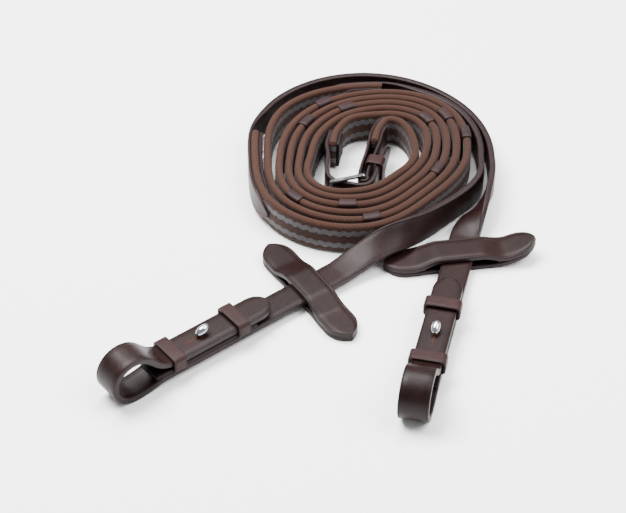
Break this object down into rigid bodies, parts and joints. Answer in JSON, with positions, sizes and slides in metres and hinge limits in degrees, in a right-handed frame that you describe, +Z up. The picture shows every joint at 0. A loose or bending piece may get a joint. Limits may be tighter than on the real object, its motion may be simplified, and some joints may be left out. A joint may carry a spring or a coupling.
{
  "type": "leather reins",
  "caption": "Pair of leather riding reins with rubber-lined web grips, hand stops, hook-stud bit billets, sliding martingale stops and a centre buckle, coiled on edge.",
  "frame": {"origin": "centre of the bounding box on the floor plane", "axes": "+Z up, away from the floor the coil stands on; +Y from the bit ends toward the coil; +X to the right-hand rein as seen from the bit ends"},
  "size_m": [0.2313, 0.2777, 0.0279],
  "materials": {
    "strap_leather": "satin",
    "trim_leather": "satin",
    "inner_leather": "matte",
    "web": "woven, with rubber grip lines",
    "steel": "polished stainless steel"
  },
  "bodies": {
    "reins": {"buckle_frame": "steel", "buckle_strap": "strap_leather", "centre_keeper": "trim_leather", "left_bit_keeper": "trim_leather", "left_front_strap": "strap_leather", "left_grip_web": "web", "left_hand_stop_1": "trim_leather", "left_hand_stop_2": "trim_leather", "left_hand_stop_3": "trim_leather", "left_hand_stop_4": "trim_leather", "left_hand_stop_5": "trim_leather", "left_hook_stud": "steel", "left_splice_inner": "inner_leather", "left_stud_lining": "inner_leather", "left_tip_keeper": "trim_leather", "point_splice": "inner_leather", "point_strap": "strap_leather", "right_bit_keeper": "trim_leather", "right_front_strap": "strap_leather", "right_grip_web": "web", "right_hand_stop_1": "trim_leather", "right_hand_stop_2": "trim_leather", "right_hand_stop_3": "trim_leather", "right_hand_stop_4": "trim_leather", "right_hand_stop_5": "trim_leather", "right_hook_stud": "steel", "right_splice_inner": "inner_leather", "right_stud_lining": "inner_leather", "right_tip_keeper": "trim_leather"},
    "left_stop": {"left_stop_upper": "strap_leather", "left_stop_lower": "strap_leather"},
    "right_stop": {"right_stop_upper": "strap_leather", "right_stop_lower": "strap_leather"},
    "buckle_tongue": {"buckle_tongue": "steel"}
  },
  "joints": [
    {"name": "left_stop_slide", "type": "slide", "parent": "reins", "child": "left_stop", "axis": [-0.7837, -0.6211, 0], "range_m": [-0.008, 0.014]},
    {"name": "right_stop_slide", "type": "slide", "parent": "reins", "child": "right_stop", "axis": [-0.2334, -0.9724, 0], "range_m": [0, 0.012]},
    {"name": "buckle_tongue_hinge", "type": "hinge", "parent": "reins", "child": "buckle_tongue", "pos_m": [0.0226, 0.0408, 0.0104], "axis": [0, 0, 1], "range_deg": [0, 3]}
  ]
}
